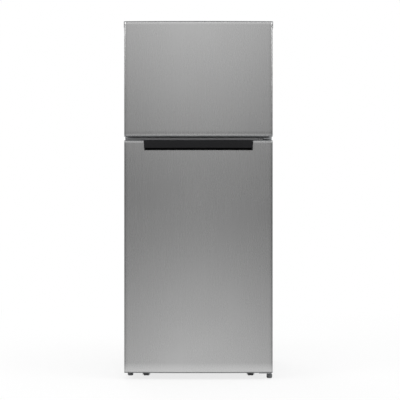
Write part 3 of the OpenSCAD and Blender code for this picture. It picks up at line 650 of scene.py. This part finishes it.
class FRIDGE_OT_finishes(bpy.types.Operator):
    """Gives every carried-over node the finish of its slot"""
    bl_idname = "fridge.finishes"
    bl_label = "Finishes"

    def execute(self, context):
        for name, node in frame["nodes"].items():
            node.data.materials.clear()
            node.data.materials.append(finish(NODE_SLOT[name]))
            node.data.set_sharp_from_angle(angle=SHARP)
        return {"FINISHED"}


# ---------- stage ----------

CAMERA_LENS = 95.7
CAMERA_DISTANCE = 4.996         # from the camera to the front of the object's box
CAMERA_SHIFT = 0.0073
SHADOW_REACH = 1.0              # the floor is plain white some way past this distance
SHADOW_LIFT = 0.78              # how far it is lifted to white close to the object
ROOM_LIGHT = 0.62
GLOW_LIMIT = 1.05               # brightest that a mirrored part of the room gets
SIDE_DROP = 0.72
DUSK_START = 0.42               # rays steeper than this see the room darken
DUSK_DROP = 0.8

class FRIDGE_OT_stage(bpy.types.Operator):
    """Sets the camera, the pale floor, the soft lamps and the studio's surround"""
    bl_idname = "fridge.stage"
    bl_label = "Stage"

    def camera(self):
        """Square-on view from half the height, five metres in front of the doors."""
        lo, hi = CAD_BOUNDS
        data = bpy.data.cameras.new("camera")
        data.lens, data.sensor_width = CAMERA_LENS, 36.0
        data.clip_end = 60.0
        camera = bpy.data.objects.new("camera", data)
        camera.location = (CAMERA_SHIFT, lo[1] - CAMERA_DISTANCE, (lo[2] + hi[2]) / 2)
        camera.rotation_euler = (np.pi / 2, 0, 0)
        bpy.context.scene.collection.objects.link(camera)
        bpy.context.scene.camera = camera

    def floor(self, look):
        """A round floor that keeps the shadow, is lifted to white for the camera and is not mirrored.

        Rings stand at reach times the square of an even step, so they are close near the middle."""
        reach, rings, steps = 14.0, 24, 72
        r = reach * np.linspace(0.001, 1, rings) ** 2
        a = np.linspace(0, 2 * np.pi, steps, endpoint=False)
        points = np.stack([np.outer(r, np.cos(a)), np.outer(r, np.sin(a)), np.zeros((rings, steps))], -1)
        mesh = bpy.data.meshes.new("floor")
        mesh.from_pydata(points.reshape(-1, 3).tolist(), [], grid_faces(rings, steps, False, True).tolist())
        floor = bpy.data.objects.new("floor", mesh)
        bpy.context.scene.collection.objects.link(floor)
        material = bpy.data.materials.new("studio_floor")
        material.use_nodes = True
        net = Net(material.node_tree)
        colour = tuple(look.floor_colour) + (1.0,)
        matt = net.out("ShaderNodeBsdfDiffuse", values={"Color": colour})
        white = net.out("ShaderNodeEmission", values={"Color": (1, 1, 1, 1), "Strength": 1.0})
        through = net.out("ShaderNodeBsdfTransparent")
        path = net.node("ShaderNodeLightPath")
        camera_ray = Value(net, path.outputs["Is Camera Ray"])
        glossy_ray = Value(net, path.outputs["Is Glossy Ray"])
        away = net.out("ShaderNodeVectorMath", {"operation": "LENGTH"}, {0: net.place()}, output="Value")
        lift = ((away - SHADOW_REACH) * 0.5).clamp() * (1 - SHADOW_LIFT) + SHADOW_LIFT
        lifted = net.out("ShaderNodeMixShader", values={0: camera_ray * lift, 1: matt, 2: white})
        shown = net.out("ShaderNodeMixShader", values={0: glossy_ray, 1: lifted, 2: through})
        net.node("ShaderNodeOutputMaterial", values={"Surface": shown})
        floor.data.materials.append(material)

    def surround(self, look):
        """White to the eye; to the object a soft room, dimmest at the horizon and to the sides."""
        world = bpy.data.worlds.new("surround")
        world.use_nodes = True
        bpy.context.scene.world = world
        net = Net(world.node_tree)
        way = net.out("ShaderNodeTexCoord", output="Generated")
        split = net.node("ShaderNodeSeparateXYZ", values={"Vector": way})
        x, z = Value(net, split.outputs["X"]), Value(net, split.outputs["Z"])
        above, below = z.math("MAXIMUM", 0.0), (z * -1).math("MAXIMUM", 0.0)
        glow = above * look.rise + below * look.fall + look.horizon
        side = 1 - (x * x * look.sideways).math("MINIMUM", SIDE_DROP)
        dusk = 1 - ((z.math("ABSOLUTE") - DUSK_START) * 2.4).clamp() * DUSK_DROP
        ahead = (glow * side).math("MINIMUM", GLOW_LIMIT) * dusk
        path = net.node("ShaderNodeLightPath")
        seen = Value(net, path.outputs["Is Camera Ray"])
        glossy = Value(net, path.outputs["Is Glossy Ray"])
        through = Value(net, path.outputs["Is Transmission Ray"])
        soft = 1 - glossy
        lit = net.mix(soft, (0, 0, 0, 1), (ROOM_LIGHT, ROOM_LIGHT, ROOM_LIGHT, 1))
        metal = net.mix(glossy, (0, 0, 0, 1), net.mix(ahead, (0, 0, 0, 1), (1, 1, 1, 1)))
        total = net.node("ShaderNodeMix", {"data_type": "RGBA", "blend_type": "ADD"},
                         {"Factor": 1.0, 6: lit, 7: metal})
        shown = net.mix((seen + through).clamp(), Value(net, total.outputs[2]), (1, 1, 1, 1))
        back = net.out("ShaderNodeBackground", values={"Color": shown, "Strength": 1.0})
        net.node("ShaderNodeOutputWorld", values={"Surface": back})

    def lamp(self, name, place, target, size, power):
        """A round soft lamp that faces a target."""
        data = bpy.data.lights.new(name, "AREA")
        data.shape, data.size, data.energy = "DISK", size, power
        lamp = bpy.data.objects.new(name, data)
        lamp.location = place
        lamp.rotation_euler = (Vector(target) - Vector(place)).to_track_quat("-Z", "Y").to_euler()
        bpy.context.scene.collection.objects.link(lamp)

    def execute(self, context):
        look = context.scene.fridge_finish
        self.camera()
        self.floor(look)
        self.surround(look)
        self.lamp("top_softbox", (0.4, -0.6, 4.6), (0, 0, 0.8), 3.0, 60)
        self.lamp("left_softbox", (-4.2, -3.0, 3.6), (0, 0, 0.9), 2.6, 70)
        self.lamp("right_softbox", (4.6, -2.4, 3.2), (0, 0, 0.9), 2.6, 45)
        self.lamp("rear_softbox", (-1.5, 4.6, 3.2), (0, 0, 0.9), 2.6, 70)
        context.scene.view_settings.view_transform = "Standard"
        return {"FINISHED"}


class FRIDGE_PT_panel(bpy.types.Panel):
    """Lists the sizes, finishes and pieces"""
    bl_idname = "FRIDGE_PT_panel"
    bl_label = "Refrigerator"
    bl_space_type = "VIEW_3D"
    bl_region_type = "UI"
    bl_category = "Refrigerator"

    def draw(self, context):
        for group in (context.scene.fridge_sizes, context.scene.fridge_finish):
            for name in group.bl_rna.properties.keys():
                if name not in ("rna_type", "name"):
                    self.layout.prop(group, name)
        for operator in STEPS:
            self.layout.operator(operator.bl_idname)


STEPS = (FRIDGE_OT_stage, FRIDGE_OT_steel_skins, FRIDGE_OT_pocket_handle, FRIDGE_OT_gaskets, FRIDGE_OT_bins,
         FRIDGE_OT_feet, FRIDGE_OT_finishes)
CLASSES = (FridgeSizes, FridgeFinish) + STEPS + (FRIDGE_PT_panel,)


def register():
    for item in CLASSES:
        bpy.utils.register_class(item)
    bpy.types.Scene.fridge_sizes = PointerProperty(type=FridgeSizes)
    bpy.types.Scene.fridge_finish = PointerProperty(type=FridgeFinish)


def unregister():
    del bpy.types.Scene.fridge_sizes, bpy.types.Scene.fridge_finish
    for item in reversed(CLASSES):
        bpy.utils.unregister_class(item)


def main():
    register()
    for step in STEPS:
        group, name = step.bl_idname.split(".")
        getattr(getattr(bpy.ops, group), name)()


if __name__ == "__main__":
    main()
